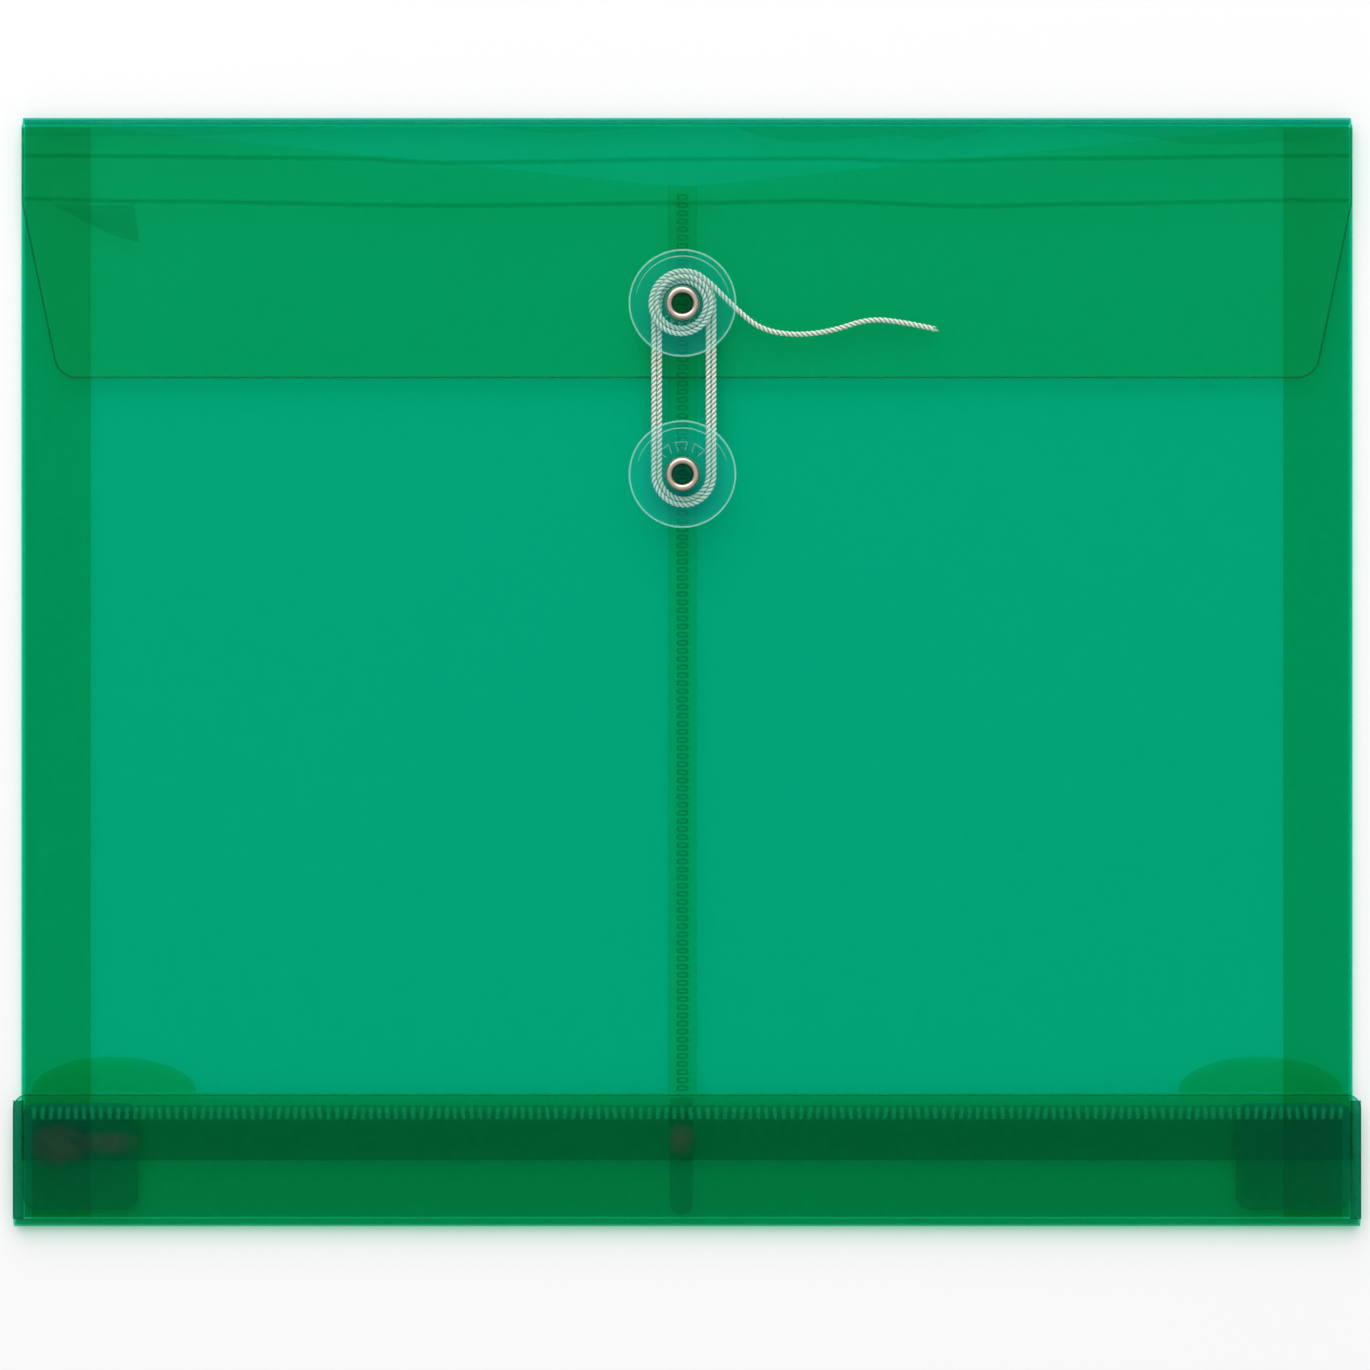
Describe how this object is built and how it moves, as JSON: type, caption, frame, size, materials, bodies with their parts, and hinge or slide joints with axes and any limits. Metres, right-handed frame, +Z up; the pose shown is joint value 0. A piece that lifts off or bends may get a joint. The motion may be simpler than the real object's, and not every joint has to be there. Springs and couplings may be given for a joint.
{
  "type": "string tie envelope",
  "caption": "Translucent film document envelope with side gussets, a folded block bottom and a scored flap that a string winds shut round two clear buttons.",
  "frame": {"origin": "middle of the back on the surface that the envelope lies on", "axes": "+X along the flap's fold to the right, +Y towards the flap's fold, +Z up out of the front"},
  "size_m": [0.299, 0.2464, 0.0082],
  "materials": {
    "green_film": "translucent tinted film, satin",
    "clear_button": "clear moulded plastic, glossy",
    "nickel_eyelet": "nickel plated, polished",
    "white_string": "twisted cotton string"
  },
  "bodies": {
    "back": {"back_panel": "green_film", "left_gusset": "green_film", "right_gusset": "green_film", "bottom_fold": "green_film"},
    "front": {"front_left_panel": "green_film", "front_right_panel": "green_film", "left_corner_tab": "green_film", "right_corner_tab": "green_film", "lower_fold": "green_film", "top_fold": "green_film", "lower_eyelet": "nickel_eyelet", "lower_washer": "clear_button"},
    "base": {"base_outer_flap": "green_film", "base_inner_flap": "green_film", "left_base_tuck": "green_film", "right_base_tuck": "green_film"},
    "flap": {"flap_root_strip": "green_film", "flap_mid_strip": "green_film", "flap_panel": "green_film", "upper_eyelet": "nickel_eyelet", "upper_washer": "clear_button", "tie_string": "white_string", "string_tail": "white_string"},
    "upper_button": {"upper_button_disc": "clear_button"},
    "lower_button": {"lower_button_disc": "clear_button"}
  },
  "joints": [
    {"name": "front_spread", "type": "hinge", "parent": "back", "child": "front", "pos_m": [0, 0.12152, 0.00168], "axis": [-1, 0, 0], "range_deg": [0, 6], "deforming": ["left_gusset", "right_gusset", "lower_fold", "top_fold", "bottom_fold"]},
    {"name": "base_fold", "type": "hinge", "parent": "back", "child": "base", "pos_m": [0, -0.12143, 0.00178], "axis": [1, 0, 0], "range_deg": [0, 87]},
    {"name": "flap_hinge", "type": "hinge", "parent": "front", "child": "flap", "pos_m": [0, 0.12152, 0.00168], "axis": [-1, 0, 0], "range_deg": [0, 165], "deforming": ["top_fold", "tie_string"]},
    {"name": "upper_button_spin", "type": "hinge", "parent": "flap", "child": "upper_button", "pos_m": [-0.001, 0.0815, 0.0067], "axis": [0, 0, 1], "continuous": true},
    {"name": "lower_button_spin", "type": "hinge", "parent": "front", "child": "lower_button", "pos_m": [-0.001, 0.0437, 0.0067], "axis": [0, 0, 1], "continuous": true}
  ],
  "couplings": [
    {"joint": "base_fold", "follows": "front_spread", "ratio": 14.4}
  ]
}
